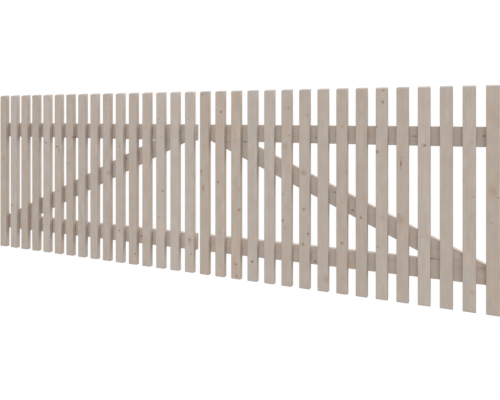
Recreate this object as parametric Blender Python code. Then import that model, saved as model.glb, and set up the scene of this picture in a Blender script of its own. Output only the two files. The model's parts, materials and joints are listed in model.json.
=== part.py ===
"""A double picket gate, 3.0 m wide and 1.0 m high.

Two leaves, each of upright pickets screwed to two rails and a diagonal brace, hang on strap hinges.
The straps' eyes turn on four pintles, whose plates are screwed to the gate posts.

Metres, +Z up. The gate stands along X, with the fronts of its pickets towards -Y. The origin is level
with the pickets' feet, in the middle of the gate's width and depth.
"""

import math

import bmesh
import bpy
from mathutils import Matrix, Vector

# Pickets. The front of a picket's top is lower than its back, so that rain runs off
PICKET_WIDTH = 0.055
PICKET_THICKNESS = 0.028
PICKET_HEIGHT = 1.0
PICKET_GAP = 0.040
PICKETS_PER_LEAF = 16
PICKET_SLANT = 0.0075
PICKET_EDGE = 0.003
MEETING_GAP = 0.040

# Rails and braces
RAIL_HEIGHT = 0.090
RAIL_THICKNESS = 0.028
LOWER_RAIL_BOTTOM = 0.120
UPPER_RAIL_BOTTOM = 0.727
BRACE_WIDTH = 0.090
BRACE_THICKNESS = 0.028
BRACE_INSET = 0.055
FRAME_EDGE = 0.003

# Wood screws through the rails and braces into the pickets
SCREW_RADIUS = 0.0020
SCREW_TIP_RADIUS = 0.0012
SCREW_HEAD_RADIUS = 0.0040
SCREW_HEAD_DEPTH = 0.0024
SCREW_BITE = 0.017
SCREW_SINK = 0.0005
LEAST_BRACE_COVER = 0.028

# Strap hinges
STRAP_HEIGHT = 0.040
STRAP_THICKNESS = 0.004
STRAP_TIP = 0.040
STRAP_TIP_CORNER = 0.012
STRAP_SCREWS = 3
STRAP_SCREW_RADIUS = 0.0024
STRAP_SCREW_HEAD_RADIUS = 0.0045
STRAP_SCREW_HEAD_DEPTH = 0.0026
STRAP_SCREW_BITE = 0.017

# Pintles
PIN_RADIUS = 0.0065
PIN_CLEARANCE = 0.0005
PIN_RISE = 0.006
PIN_POINT = 0.002
SHOULDER_HEIGHT = 0.010
ARM_HEIGHT = 0.008
ARM_WIDTH = 0.016
EYE_TO_WOOD = 0.003
EYE_TO_PLATE = 0.003
PLATE_WIDTH = 0.040
PLATE_HEIGHT = 0.100
PLATE_THICKNESS = 0.005
PLATE_CORNER = 0.004
PLATE_HOLE_RADIUS = 0.0035
PLATE_HOLE_TO_END = 0.012

# Gaps between pieces that touch, how far a cutter stands past what it cuts, and numbers of sides
FIT_GAP = 0.0003
OVERCUT = 0.001
PIN_SIDES = 16
SCREW_SIDES = 6
PLATE_HOLE_SIDES = 8

# Worked out along the gate's width, from its middle outwards
PICKET_PITCH = PICKET_WIDTH + PICKET_GAP
LEAF_START = MEETING_GAP / 2
LEAF_WIDTH = PICKETS_PER_LEAF * PICKET_WIDTH + (PICKETS_PER_LEAF - 1) * PICKET_GAP
LEAF_END = LEAF_START + LEAF_WIDTH
EYE_RADIUS = PIN_RADIUS + PIN_CLEARANCE + STRAP_THICKNESS
HINGE_OUT = LEAF_END + EYE_TO_WOOD + EYE_RADIUS
PLATE_INNER = HINGE_OUT + EYE_RADIUS + EYE_TO_PLATE

# Worked out through the gate's depth, from the pickets' fronts to the backs of the hinge plates
PICKET_BACK = PICKET_THICKNESS
RAIL_FRONT = PICKET_BACK + FIT_GAP
RAIL_BACK = RAIL_FRONT + RAIL_THICKNESS
BRACE_BACK = RAIL_FRONT + BRACE_THICKNESS
STRAP_FRONT = RAIL_BACK + FIT_GAP
STRAP_BACK = STRAP_FRONT + STRAP_THICKNESS
HINGE_BACK = STRAP_FRONT + EYE_RADIUS
FULL_DEPTH = HINGE_BACK + PLATE_WIDTH / 2
FRONT_Y = -FULL_DEPTH / 2

# Worked out up the gate's height. Easing the back edge of a slanted top takes a little off its height
EASED_OFF = PICKET_EDGE * math.sin(math.atan(PICKET_SLANT / PICKET_THICKNESS))
RAIL_BOTTOMS = {"upper": UPPER_RAIL_BOTTOM, "lower": LOWER_RAIL_BOTTOM}
BRACE_TOP = UPPER_RAIL_BOTTOM - FIT_GAP
BRACE_BOTTOM = LOWER_RAIL_BOTTOM + RAIL_HEIGHT + FIT_GAP

SIDES = {"left": -1, "right": 1}
CRISP_ANGLE = math.radians(35)


def make_material(name, colour, roughness, metallic):
    material = bpy.data.materials.new(name)
    material.use_nodes = True
    shader = material.node_tree.nodes["Principled BSDF"]
    shader.inputs["Base Color"].default_value = (*colour, 1)
    shader.inputs["Roughness"].default_value = roughness
    shader.inputs["Metallic"].default_value = metallic
    return material


def make_object(name, shape, collection, material=None):
    """Turn a bmesh into an object of that collection, its rounds smooth and its edges crisp."""
    mesh = bpy.data.meshes.new(name)
    shape.to_mesh(mesh)
    shape.free()
    mesh.shade_smooth()
    mesh.set_sharp_from_angle(angle=CRISP_ANGLE)
    if material:
        mesh.materials.append(material)
    made = bpy.data.objects.new(name, mesh)
    collection.objects.link(made)
    return made


def make_cutter(name, shape, collection):
    cutter = make_object(name, shape, collection)
    cutter.hide_render = True
    cutter.display_type = "WIRE"
    return cutter


def place(piece, parent, point):
    """Put a piece at a point of the gate, as a child of an empty."""
    piece.parent = parent
    piece.location = Vector(point) - parent.location


def boolean(piece, other, operation="DIFFERENCE"):
    modifier = piece.modifiers.new(f"{operation.title()} {other.name}", "BOOLEAN")
    modifier.operation = operation
    modifier.object = other
    modifier.solver = "EXACT"


def box(size, centre=(0, 0, 0)):
    shape = bmesh.new()
    bmesh.ops.create_cube(shape, size=1)
    bmesh.ops.scale(shape, vec=size, verts=shape.verts)
    bmesh.ops.translate(shape, vec=centre, verts=shape.verts)
    return shape


def ease(shape, edges, width, segments=1):
    """Take the sharpness off some edges."""
    bmesh.ops.bevel(
        shape,
        geom=edges,
        offset=width,
        offset_type="OFFSET",
        segments=segments,
        profile=0.5,
        affect="EDGES",
        material=-1,
    )


def edges_along(shape, axis):
    """The edges of a box that run along one axis."""
    return [e for e in shape.edges if abs((e.verts[1].co - e.verts[0].co).normalized()[axis]) > 0.99]


def upright_cylinder(radius, bottom, top, sides=PIN_SIDES):
    shape = bmesh.new()
    middle = Matrix.Translation((0, 0, (bottom + top) / 2))
    bmesh.ops.create_cone(
        shape,
        cap_ends=True,
        segments=sides,
        radius1=radius,
        radius2=radius,
        depth=top - bottom,
        matrix=middle,
    )
    return shape


def add_screw(shape, point, profile):
    """Add a turned shape that points to -Y, ring by ring from its profile's (radius, depth) pairs."""
    start = Matrix.Translation(point) @ Matrix.Rotation(math.radians(90), 4, "X")
    ring = bmesh.ops.create_circle(
        shape, cap_ends=True, segments=SCREW_SIDES, radius=profile[0][0], matrix=start
    )
    head = face = ring["verts"][0].link_faces[0]
    for (last_radius, last_depth), (radius, depth) in zip(profile, profile[1:]):
        drawn = bmesh.ops.extrude_face_region(shape, geom=[face])["geom"]
        if face is not head:
            bmesh.ops.delete(shape, geom=[face], context="FACES_ONLY")
        face = next(part for part in drawn if isinstance(part, bmesh.types.BMFace))
        growth = radius / last_radius
        about = Matrix.Translation(-face.calc_center_median())
        bmesh.ops.scale(shape, vec=(growth, 1, growth), verts=face.verts, space=about)
        bmesh.ops.translate(shape, vec=(0, last_depth - depth, 0), verts=face.verts)


def screws_at(points, profile):
    shape = bmesh.new()
    for point in points:
        add_screw(shape, point, profile)
    bmesh.ops.recalc_face_normals(shape, faces=shape.faces)
    return shape


def screw_profile(head_radius, head_depth, radius, length):
    """A countersunk screw from its head to its tip, as (radius, depth) pairs."""
    return [(head_radius, 0), (radius, head_depth), (SCREW_TIP_RADIUS, length)]


def holes_at(points, profile):
    """Cutters for such screws: clear of them all round, and open above their heads."""
    (head_radius, _), (radius, head_depth), (tip_radius, length) = profile
    above = SCREW_SINK + OVERCUT
    rings = [
        (head_radius + FIT_GAP, 0),
        (head_radius + FIT_GAP, above + FIT_GAP),
        (radius + FIT_GAP, above + head_depth + FIT_GAP),
        (tip_radius + FIT_GAP, above + length + FIT_GAP),
    ]
    return screws_at([(x, y + above, z) for x, y, z in points], rings)


def picket_place(number):
    """How far a picket's middle is from the gate's middle. Pickets are numbered outwards from 0."""
    return LEAF_START + PICKET_WIDTH / 2 + number * PICKET_PITCH


def brace_slope():
    """The brace's angle below level, going outwards.

    Its lower edge leaves the upper rail one inset from the leaf's inner end, and its upper edge meets
    the lower rail one inset from the outer end, so the line between those two corners crosses the
    brace's width.
    """
    run = LEAF_WIDTH - 2 * BRACE_INSET
    drop = BRACE_TOP - BRACE_BOTTOM
    return math.atan2(drop, run) + math.asin(BRACE_WIDTH / math.hypot(run, drop))


def brace_middle(distance):
    """The middle of what the brace covers of a picket that far out, and how much it covers."""
    slope = brace_slope()
    low_edge = BRACE_TOP - (distance - LEAF_START - BRACE_INSET) * math.tan(slope)
    high_edge = low_edge + BRACE_WIDTH / math.cos(slope)
    low, high = max(low_edge, BRACE_BOTTOM), min(high_edge, BRACE_TOP)
    return (low + high) / 2, high - low


def braced(number):
    return brace_middle(picket_place(number))[1] > LEAST_BRACE_COVER


def rail_screw_points(side):
    return [
        (side * picket_place(number), FRONT_Y + RAIL_BACK - SCREW_SINK, bottom + RAIL_HEIGHT / 2)
        for bottom in RAIL_BOTTOMS.values()
        for number in range(PICKETS_PER_LEAF)
    ]


def brace_screw_points(side):
    depth = FRONT_Y + BRACE_BACK - SCREW_SINK
    places = [picket_place(number) for number in range(PICKETS_PER_LEAF) if braced(number)]
    return [(side * place, depth, brace_middle(place)[0]) for place in places]


def strap_screw_places():
    """Between the pickets, where a strap's screws meet nothing but the rail."""
    first = LEAF_END - PICKET_WIDTH - PICKET_GAP / 2
    return [first - count * PICKET_PITCH for count in range(STRAP_SCREWS)]


def strap_screw_points(side, bottom):
    depth = FRONT_Y + STRAP_BACK - SCREW_SINK
    return [(side * distance, depth, bottom + RAIL_HEIGHT / 2) for distance in strap_screw_places()]


def make_pickets(leaf, side, parent, parts, material, holes):
    """Pickets with tops that slant down to the front, which share one mesh."""
    size = (PICKET_WIDTH, PICKET_THICKNESS, PICKET_HEIGHT + EASED_OFF)
    shape = box(size, (0, 0, EASED_OFF / 2))
    front_top = [corner for corner in shape.verts if corner.co.y < 0 < corner.co.z]
    bmesh.ops.translate(shape, vec=(0, 0, -PICKET_SLANT), verts=front_top)
    ease(shape, shape.edges[:], PICKET_EDGE)
    first = make_object(f"{leaf}_picket_01", shape, parts, material)
    middle_y = FRONT_Y + PICKET_THICKNESS / 2
    for number in range(PICKETS_PER_LEAF):
        picket = first
        if number:
            picket = bpy.data.objects.new(f"{leaf}_picket_{number + 1:02d}", first.data)
            parts.objects.link(picket)
        place(picket, parent, (side * picket_place(number), middle_y, PICKET_HEIGHT / 2))
        boolean(picket, holes["rail"])
        if braced(number):
            boolean(picket, holes["brace"])


def make_rail(name, side, bottom, parent, parts, material, holes):
    shape = box((LEAF_WIDTH, RAIL_THICKNESS, RAIL_HEIGHT))
    ease(shape, edges_along(shape, 0), FRAME_EDGE)
    rail = make_object(name, shape, parts, material)
    middle = side * (LEAF_START + LEAF_END) / 2
    middle_y = FRONT_Y + (RAIL_FRONT + RAIL_BACK) / 2
    place(rail, parent, (middle, middle_y, bottom + RAIL_HEIGHT / 2))
    for cutter in holes:
        boolean(rail, cutter)


def cut_level(shape, height, keep):
    """Saw a shape off level at a height. keep is 1 to keep what is below the cut, and -1 for above."""
    everything = shape.verts[:] + shape.edges[:] + shape.faces[:]
    cut = bmesh.ops.bisect_plane(
        shape, geom=everything, plane_co=(0, 0, height), plane_no=(0, 0, keep), clear_outer=True
    )
    rim = [part for part in cut["geom_cut"] if isinstance(part, bmesh.types.BMEdge)]
    bmesh.ops.edgeloop_fill(shape, edges=rim)


def make_brace(name, side, parent, parts, material, holes):
    """A board as long as the leaf, turned to its slope, then sawn off level at both rails."""
    shape = box((LEAF_WIDTH + BRACE_WIDTH, BRACE_THICKNESS, BRACE_WIDTH))
    ease(shape, edges_along(shape, 0), FRAME_EDGE)
    turn = Matrix.Rotation(side * brace_slope(), 4, "Y")
    bmesh.ops.transform(shape, matrix=turn, verts=shape.verts)
    half_drop = (BRACE_TOP - BRACE_BOTTOM) / 2
    cut_level(shape, half_drop, 1)
    cut_level(shape, -half_drop, -1)
    bmesh.ops.recalc_face_normals(shape, faces=shape.faces)
    brace = make_object(name, shape, parts, material)
    middle = side * (LEAF_START + LEAF_END) / 2
    middle_y = FRONT_Y + (RAIL_FRONT + BRACE_BACK) / 2
    place(brace, parent, (middle, middle_y, (BRACE_TOP + BRACE_BOTTOM) / 2))
    boolean(brace, holes)


def make_strap(name, side, bottom, parent, parts, cutters, material, holes):
    """A flat bar from under its last screw to the eye, whose roll goes round the pin."""
    inner_end = strap_screw_places()[-1] - STRAP_TIP
    length = HINGE_OUT - inner_end
    shape = box((length, STRAP_THICKNESS, STRAP_HEIGHT), (-side * length / 2, 0, 0))
    bar_to_eye = EYE_RADIUS - STRAP_THICKNESS / 2
    bmesh.ops.translate(shape, vec=(0, -bar_to_eye, 0), verts=shape.verts)
    tip = [e for e in edges_along(shape, 1) if abs(e.verts[0].co.x) > length / 2]
    ease(shape, tip, STRAP_TIP_CORNER, 3)
    strap = make_object(name, shape, parts, material)
    half = STRAP_HEIGHT / 2
    roll = make_cutter(f"{name}_roll", upright_cylinder(EYE_RADIUS, -half, half), cutters)
    bore_radius = PIN_RADIUS + PIN_CLEARANCE
    bore_shape = upright_cylinder(bore_radius, -half - OVERCUT, half + OVERCUT)
    bore = make_cutter(f"{name}_bore", bore_shape, cutters)
    for piece in (strap, roll, bore):
        place(piece, parent, (side * HINGE_OUT, FRONT_Y + HINGE_BACK, bottom + RAIL_HEIGHT / 2))
    boolean(strap, roll, "UNION")
    boolean(strap, bore)
    boolean(strap, holes)


def make_pintle(name, side, bottom, parent, parts, cutters, material):
    """A plate for the post, an arm that stands out from it, and a shoulder with the pin on it."""
    plate_out = PLATE_INNER - HINGE_OUT
    shoulder_top = -STRAP_HEIGHT / 2 - FIT_GAP
    shoulder_bottom = shoulder_top - SHOULDER_HEIGHT
    pin_top = STRAP_HEIGHT / 2 + PIN_RISE

    plate_centre = (side * (plate_out + PLATE_THICKNESS / 2), 0, 0)
    plate_shape = box((PLATE_THICKNESS, PLATE_WIDTH, PLATE_HEIGHT), plate_centre)
    ease(plate_shape, edges_along(plate_shape, 0), PLATE_CORNER)
    pintle = make_object(name, plate_shape, parts, material)

    arm_length = plate_out + PLATE_THICKNESS / 2
    arm_middle = (side * arm_length / 2, 0, (shoulder_top + shoulder_bottom) / 2)
    arm_shape = box((arm_length, ARM_WIDTH, ARM_HEIGHT), arm_middle)
    arm = make_cutter(f"{name}_arm", arm_shape, cutters)
    shoulder_shape = upright_cylinder(EYE_RADIUS, shoulder_bottom, shoulder_top)
    shoulder = make_cutter(f"{name}_shoulder", shoulder_shape, cutters)

    pin_shape = upright_cylinder(PIN_RADIUS, shoulder_top - SHOULDER_HEIGHT / 2, pin_top)
    rim = [e for e in pin_shape.edges if min(v.co.z for v in e.verts) > pin_top - PIN_POINT]
    ease(pin_shape, rim, PIN_POINT)
    pin = make_cutter(f"{name}_pin", pin_shape, cutters)

    hole_shape = bmesh.new()
    for end in (-1, 1):
        height = end * (PLATE_HEIGHT / 2 - PLATE_HOLE_TO_END)
        across = Matrix.Translation((plate_centre[0], 0, height)) @ Matrix.Rotation(math.pi / 2, 4, "Y")
        bmesh.ops.create_cone(
            hole_shape,
            cap_ends=True,
            segments=PLATE_HOLE_SIDES,
            radius1=PLATE_HOLE_RADIUS,
            radius2=PLATE_HOLE_RADIUS,
            depth=PLATE_THICKNESS + 2 * OVERCUT,
            matrix=across,
        )
    plate_holes = make_cutter(f"{name}_holes", hole_shape, cutters)

    for piece in (pintle, arm, shoulder, pin, plate_holes):
        place(piece, parent, (side * HINGE_OUT, FRONT_Y + HINGE_BACK, bottom + RAIL_HEIGHT / 2))
    for piece in (arm, shoulder, pin):
        boolean(pintle, piece, "UNION")
    boolean(pintle, plate_holes)


def make_strap_screws(strap, points, parent, parts, material, profile):
    """A strap's screws, which share one mesh and are numbered from the eye inwards."""
    first = make_object(f"{strap}_screw_1", screws_at([(0, 0, 0)], profile), parts, material)
    for count, point in enumerate(points):
        screw = first
        if count:
            screw = bpy.data.objects.new(f"{strap}_screw_{count + 1}", first.data)
            parts.objects.link(screw)
        place(screw, parent, point)


def make_leaf(leaf, side, parts, cutters, materials):
    """One leaf, on an empty that stands on its hinge's line."""
    hinge = bpy.data.objects.new(f"{leaf}_hinge_line", None)
    hinge.location = (side * HINGE_OUT, FRONT_Y + HINGE_BACK, 0)
    parts.objects.link(hinge)

    bite = FIT_GAP + SCREW_BITE - SCREW_SINK
    size = (SCREW_HEAD_RADIUS, SCREW_HEAD_DEPTH, SCREW_RADIUS)
    strap_bite = STRAP_THICKNESS + FIT_GAP + STRAP_SCREW_BITE - SCREW_SINK
    strap_size = (STRAP_SCREW_HEAD_RADIUS, STRAP_SCREW_HEAD_DEPTH, STRAP_SCREW_RADIUS)
    strap_screw = screw_profile(*strap_size, strap_bite)
    strap_points = {level: strap_screw_points(side, bottom) for level, bottom in RAIL_BOTTOMS.items()}
    hole_shapes = {
        "rail": holes_at(rail_screw_points(side), screw_profile(*size, RAIL_THICKNESS + bite)),
        "brace": holes_at(brace_screw_points(side), screw_profile(*size, BRACE_THICKNESS + bite)),
        "strap": holes_at(strap_points["upper"] + strap_points["lower"], strap_screw),
    }
    holes = {}
    for kind, shape in hole_shapes.items():
        holes[kind] = make_cutter(f"{leaf}_{kind}_holes", shape, cutters)
        place(holes[kind], hinge, (0, 0, 0))

    make_pickets(leaf, side, hinge, parts, materials["picket"], holes)
    make_brace(f"{leaf}_brace", side, hinge, parts, materials["frame"], holes["brace"])
    rail_holes = (holes["rail"], holes["strap"])
    for level, bottom in RAIL_BOTTOMS.items():
        rail, strap = f"{leaf}_{level}_rail", f"{leaf}_{level}_strap"
        make_rail(rail, side, bottom, hinge, parts, materials["frame"], rail_holes)
        make_strap(strap, side, bottom, hinge, parts, cutters, materials["steel"], holes["strap"])
        make_strap_screws(strap, strap_points[level], hinge, parts, materials["screw"], strap_screw)


def main():
    for old in list(bpy.data.objects):
        bpy.data.objects.remove(old, do_unlink=True)

    parts = bpy.data.collections.new("double_picket_gate")
    cutters = bpy.data.collections.new("cutters")
    for collection in (parts, cutters):
        bpy.context.scene.collection.children.link(collection)

    materials = {
        "picket": make_material("stained_softwood_pickets", (0.46, 0.40, 0.33), 0.7, 0),
        "frame": make_material("stained_softwood_frame", (0.37, 0.30, 0.24), 0.75, 0),
        "steel": make_material("galvanised_steel", (0.52, 0.53, 0.54), 0.45, 1),
        "screw": make_material("zinc_plated_screws", (0.62, 0.61, 0.58), 0.35, 1),
    }

    posts = bpy.data.objects.new("post_line", None)
    parts.objects.link(posts)
    for leaf, side in SIDES.items():
        make_leaf(leaf, side, parts, cutters, materials)
        for level, bottom in RAIL_BOTTOMS.items():
            pintle = f"{leaf}_{level}_pintle"
            make_pintle(pintle, side, bottom, posts, parts, cutters, materials["steel"])


main()
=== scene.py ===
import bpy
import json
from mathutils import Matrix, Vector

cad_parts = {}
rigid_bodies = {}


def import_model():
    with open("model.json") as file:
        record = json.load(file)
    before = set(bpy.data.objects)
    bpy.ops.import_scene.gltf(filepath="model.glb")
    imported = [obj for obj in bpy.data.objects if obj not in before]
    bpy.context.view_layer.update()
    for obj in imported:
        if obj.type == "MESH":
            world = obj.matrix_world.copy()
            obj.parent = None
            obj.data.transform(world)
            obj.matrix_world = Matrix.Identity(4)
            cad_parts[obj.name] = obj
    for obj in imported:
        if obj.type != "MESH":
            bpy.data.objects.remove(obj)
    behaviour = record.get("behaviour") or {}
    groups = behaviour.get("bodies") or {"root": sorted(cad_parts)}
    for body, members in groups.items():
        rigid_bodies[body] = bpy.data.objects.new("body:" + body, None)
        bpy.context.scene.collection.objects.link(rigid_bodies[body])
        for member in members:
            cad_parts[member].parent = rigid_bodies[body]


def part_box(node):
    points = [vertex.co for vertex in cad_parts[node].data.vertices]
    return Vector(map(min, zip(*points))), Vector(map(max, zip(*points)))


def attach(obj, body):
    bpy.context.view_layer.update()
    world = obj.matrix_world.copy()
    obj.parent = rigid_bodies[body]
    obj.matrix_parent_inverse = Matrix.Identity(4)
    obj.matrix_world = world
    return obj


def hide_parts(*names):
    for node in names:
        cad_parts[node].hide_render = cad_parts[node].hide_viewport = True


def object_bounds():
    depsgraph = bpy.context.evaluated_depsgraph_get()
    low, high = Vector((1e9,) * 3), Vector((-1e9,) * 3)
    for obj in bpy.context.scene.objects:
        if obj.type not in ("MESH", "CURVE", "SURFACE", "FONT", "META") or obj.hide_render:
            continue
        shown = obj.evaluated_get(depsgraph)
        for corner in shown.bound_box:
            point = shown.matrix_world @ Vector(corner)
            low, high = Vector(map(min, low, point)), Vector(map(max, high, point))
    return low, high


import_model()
cad_low, cad_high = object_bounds()
print("CAD box in metres:", [round(value, 4) for value in (*cad_low, *cad_high)])

# %% [markdown]
# ## Where each piece is
#
# Every step asks the frame for a piece's box, and two helpers turn that into a middle and a size. The
# right leaf mirrors the left one, so a side is a name and also a sign along X. A new Blender file brings
# a cube, a lamp and a camera of its own, which would show in the picture, so they go first.
# %% What the cells share
import json
import math
import random
from collections import namedtuple

import bmesh
import bpy
from mathutils import Matrix, Vector

SIDES = {"left": -1, "right": 1}
LEVELS = ("upper", "lower")
PICKETS_PER_LEAF = 16
MM = 0.001

for spare in [thing for thing in bpy.data.objects if thing.name in ("Cube", "Light", "Camera")]:
    bpy.data.objects.remove(spare)


def middle_of(node):
    """The middle of a CAD node's box."""
    low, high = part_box(node)
    return (low + high) / 2


def size_of(node):
    """A CAD node's width, depth and height."""
    low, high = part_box(node)
    return high - low


print("one picket, in millimetres:", [round(length / MM, 1) for length in size_of("left_picket_01")])

# %% [markdown]
# ## The camera
#
# The photograph was taken from near the gate's right end, a little under its full height, with the
# lens level: the pickets stay upright in the picture, and the horizon lies high in the frame only
# because the picture was cropped round the gate. Tilting the camera down would make the pickets lean, so
# here too the camera stays level, and a vertical shift lowers the frame. The focal length in pixels, the
# row of the horizon, and the camera's place in metres and turn in degrees come from one fit to the
# pickets' edges.
# %% Set up the camera
PHOTO_WIDTH = 500
PHOTO_HEIGHT = 400
FOCAL_LENGTH_PIXELS = 519.9
HORIZON_ROW = 115.35
CAMERA_ALONG_GATE = 1.4294
CAMERA_BEFORE_PICKETS = 2.4821
CAMERA_HEIGHT = 0.8672
CAMERA_TURN = 24.065
SENSOR_WIDTH = 36

camera_data = bpy.data.cameras.new("photo_camera")
camera_data.sensor_width = SENSOR_WIDTH
camera_data.lens = SENSOR_WIDTH * FOCAL_LENGTH_PIXELS / PHOTO_WIDTH
camera_data.shift_y = (HORIZON_ROW - PHOTO_HEIGHT / 2) / PHOTO_WIDTH
camera = bpy.data.objects.new("photo_camera", camera_data)
camera.location = (CAMERA_ALONG_GATE, cad_low[1] - CAMERA_BEFORE_PICKETS, CAMERA_HEIGHT)
camera.rotation_euler = (math.radians(90), 0, math.radians(CAMERA_TURN))
bpy.context.scene.collection.objects.link(camera)
bpy.context.scene.camera = camera
print(f"a {camera_data.lens:.1f} mm lens, {CAMERA_BEFORE_PICKETS:.2f} m in front of the pickets")

# %% [markdown]
# ## Colours and nodes
#
# Colours are picked as they look on a screen, as hex values, and Blender wants them linear. One function
# turns the first into the second, and one adds a node together with its settings and links.
# %% Colour and node helpers


def colour(code):
    """A hex colour such as #B5AA9C, made linear."""
    shares = [int(code[place:place + 2], 16) / 255 for place in (1, 3, 5)]
    linear = [share / 12.92 if share < 0.04045 else ((share + 0.055) / 1.055) ** 2.4 for share in shares]
    return (*linear, 1)


def add_node(tree, kind, inputs=None, **settings):
    """Add a node. An input is a number, a colour, a socket, or a node, which gives its first output."""
    node = tree.nodes.new(f"ShaderNode{kind}")
    for name, value in settings.items():
        setattr(node, name, value)
    for key, value in (inputs or {}).items():
        named = [socket for socket in node.inputs if socket.enabled and socket.name == key]
        socket = named[0] if named else node.inputs[key]
        if isinstance(value, bpy.types.Node):
            value = next(out for out in value.outputs if out.enabled)
        if isinstance(value, bpy.types.NodeSocket):
            tree.links.new(value, socket)
        else:
            socket.default_value = value
    return node


def new_material(name):
    """A material, its node tree and its shader."""
    material = bpy.data.materials.new(name)
    material.use_nodes = True
    return material, material.node_tree, material.node_tree.nodes["Principled BSDF"]


print("a mid grey of #808080 is", round(colour("#808080")[0], 3), "in linear light")

# %% [markdown]
# ## Softwood: the log first
#
# The boards are planed spruce under a thin pigmented glaze. A board is a slice of a log, so its pattern
# is made the way the log makes it: growth rings are circles round the pith, and the board's faces cut
# through them. On a wide face that gives long lines with quiet places between, on a sawn end it gives
# arcs, and nothing breaks at a corner. Each board's mesh therefore carries where its points lie in the
# log, in metres, and one recipe serves boards that stand, lie or slope.
#
# A knot is a branch that was cut through, and a stain is a cloud or a thread of resin. Each point also
# carries its offset from the nearest knot and from the nearest stain, so their outlines are worked out
# in the shader and stay crisp however coarse the mesh is. A mark's reach is counted in its own radii,
# which a little noise makes uneven, and where a mark fades out it is pushed many radii away. The rings
# bulge round a knot, as they grew.
# %% Rings that bulge round the knots
RING_WIDTH = 4.5 * MM
RING_WANDER = 16 * MM
WANDERS_PER_METRE = (16, 16, 2.2)
LATE_WOOD_RISE = (0.1, 0.86)
BULGE = 1.5
BULGE_REACH = 3.2
MARK_WAVE = 7 * MM
UNEVEN = (0.6, 1.5)
# Noise runs from 0 to 1, but hardly ever leaves this middle part.
NOISE_MIDDLE = (0.3, 0.7)
NEAR_ENOUGH = 0.3
FAR_OFF = 9


def reach_of(tree, mark, nearness, log):
    """How far a point is from its nearest mark, counted in that mark's own, uneven radii."""
    flat = add_node(tree, "VectorMath", {0: mark, 1: (1, 1, 0)}, operation="MULTIPLY")
    distance = add_node(tree, "VectorMath", {0: flat}, operation="LENGTH")
    radius = add_node(tree, "SeparateXYZ", {0: mark}).outputs["Z"]
    uneven = add_node(tree, "TexNoise", {"Vector": log, "Scale": 1 / MARK_WAVE, "Detail": 1})
    swell = add_node(
        tree,
        "MapRange",
        {
            "Value": uneven,
            "From Min": NOISE_MIDDLE[0],
            "From Max": NOISE_MIDDLE[1],
            "To Min": UNEVEN[0],
            "To Max": UNEVEN[1],
        },
    )
    even_radii = add_node(tree, "Math", {0: distance, 1: radius}, operation="DIVIDE")
    radii = add_node(tree, "Math", {0: even_radii, 1: swell}, operation="MULTIPLY")
    far = add_node(
        tree, "MapRange", {"Value": nearness, "From Max": NEAR_ENOUGH, "To Min": FAR_OFF, "To Max": 0}
    )
    return add_node(tree, "Math", {0: radii, 1: far}, operation="ADD")


def late_wood(tree, log, knot, reach):
    """The dark part of each growth ring: it comes on slowly and stops at once."""
    section = add_node(tree, "VectorMath", {0: log, 1: (1, 1, 0)}, operation="MULTIPLY")
    from_pith = add_node(tree, "VectorMath", {0: section}, operation="LENGTH")
    slowly = add_node(tree, "VectorMath", {0: log, 1: WANDERS_PER_METRE}, operation="MULTIPLY")
    wander = add_node(tree, "TexNoise", {"Vector": slowly, "Scale": 1, "Detail": 3})
    wandering = add_node(tree, "Math", {0: wander, 1: RING_WANDER, 2: from_pith}, operation="MULTIPLY_ADD")
    bulge = add_node(
        tree,
        "MapRange",
        {"Value": reach, "From Min": 0, "From Max": BULGE_REACH, "To Min": BULGE, "To Max": 0},
        interpolation_type="SMOOTHERSTEP",
    )
    radius = add_node(tree, "SeparateXYZ", {0: knot}).outputs["Z"]
    place = add_node(tree, "Math", {0: bulge, 1: radius, 2: wandering}, operation="MULTIPLY_ADD")
    in_rings = add_node(tree, "Math", {0: place, 1: RING_WIDTH}, operation="DIVIDE")
    in_ring = add_node(tree, "Math", {0: in_rings}, operation="FRACT")
    ramp = add_node(tree, "ValToRGB", {0: in_ring})
    ramp.color_ramp.elements[0].position = LATE_WOOD_RISE[0]
    ramp.color_ramp.elements[1].position = LATE_WOOD_RISE[1]
    ramp.color_ramp.elements.new(1.0).color = (0, 0, 0, 1)
    return ramp


print(f"rings {RING_WIDTH / MM} mm apart, drawn a little wider than a forest spruce's so that they show")

# %% [markdown]
# ## The glaze
#
# A greige glaze evens out the wood's yellow without hiding the grain: late wood and fibres stay a tone
# darker, and some places drink more of it than others. Boards from different planks take it differently,
# some warmer and pinker, some cooler and greener, so each board has its own tint, and faint pink and
# grey clouds lie over it. The end grain drinks the most glaze, so it has a tint of its own too, and that
# tint also holds painted light: a cool painted sky light on the pickets' tops, and on the frame's ends a
# painted lift out of the shade between the leaves.
#
# Each pattern is noise that is drawn out along the log, given by its width and its length on the wood.
# The fibres are drawn far coarser than real ones, which are finer than a hair, so that they show.
# %% Grain under a glaze
EARLY_WOOD = "#C8BFB6"
LATE_WOOD = "#B3A99E"
DEEP_GLAZE = "#B1A296"
COOL_GLAZE = "#FFFFFF"
WARM_GLAZE = "#F8F2EC"
PINK_CLOUD = "#FFF9F5"
GREY_CLOUD = "#F7FBFF"
LATE_SHARE = 0.33
STREAK_SHARE = 0.26
FIBRE_SHARE = 0.26
DRUNK_SHARE = 0.5
FIBRE = (1.6 * MM, 90 * MM)
STREAK = (11 * MM, 400 * MM)
BLOTCH = (35 * MM, 60 * MM)
CLOUD = (34 * MM, 50 * MM)
PATTERN_MIDDLE = (0.28, 0.72)


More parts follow.
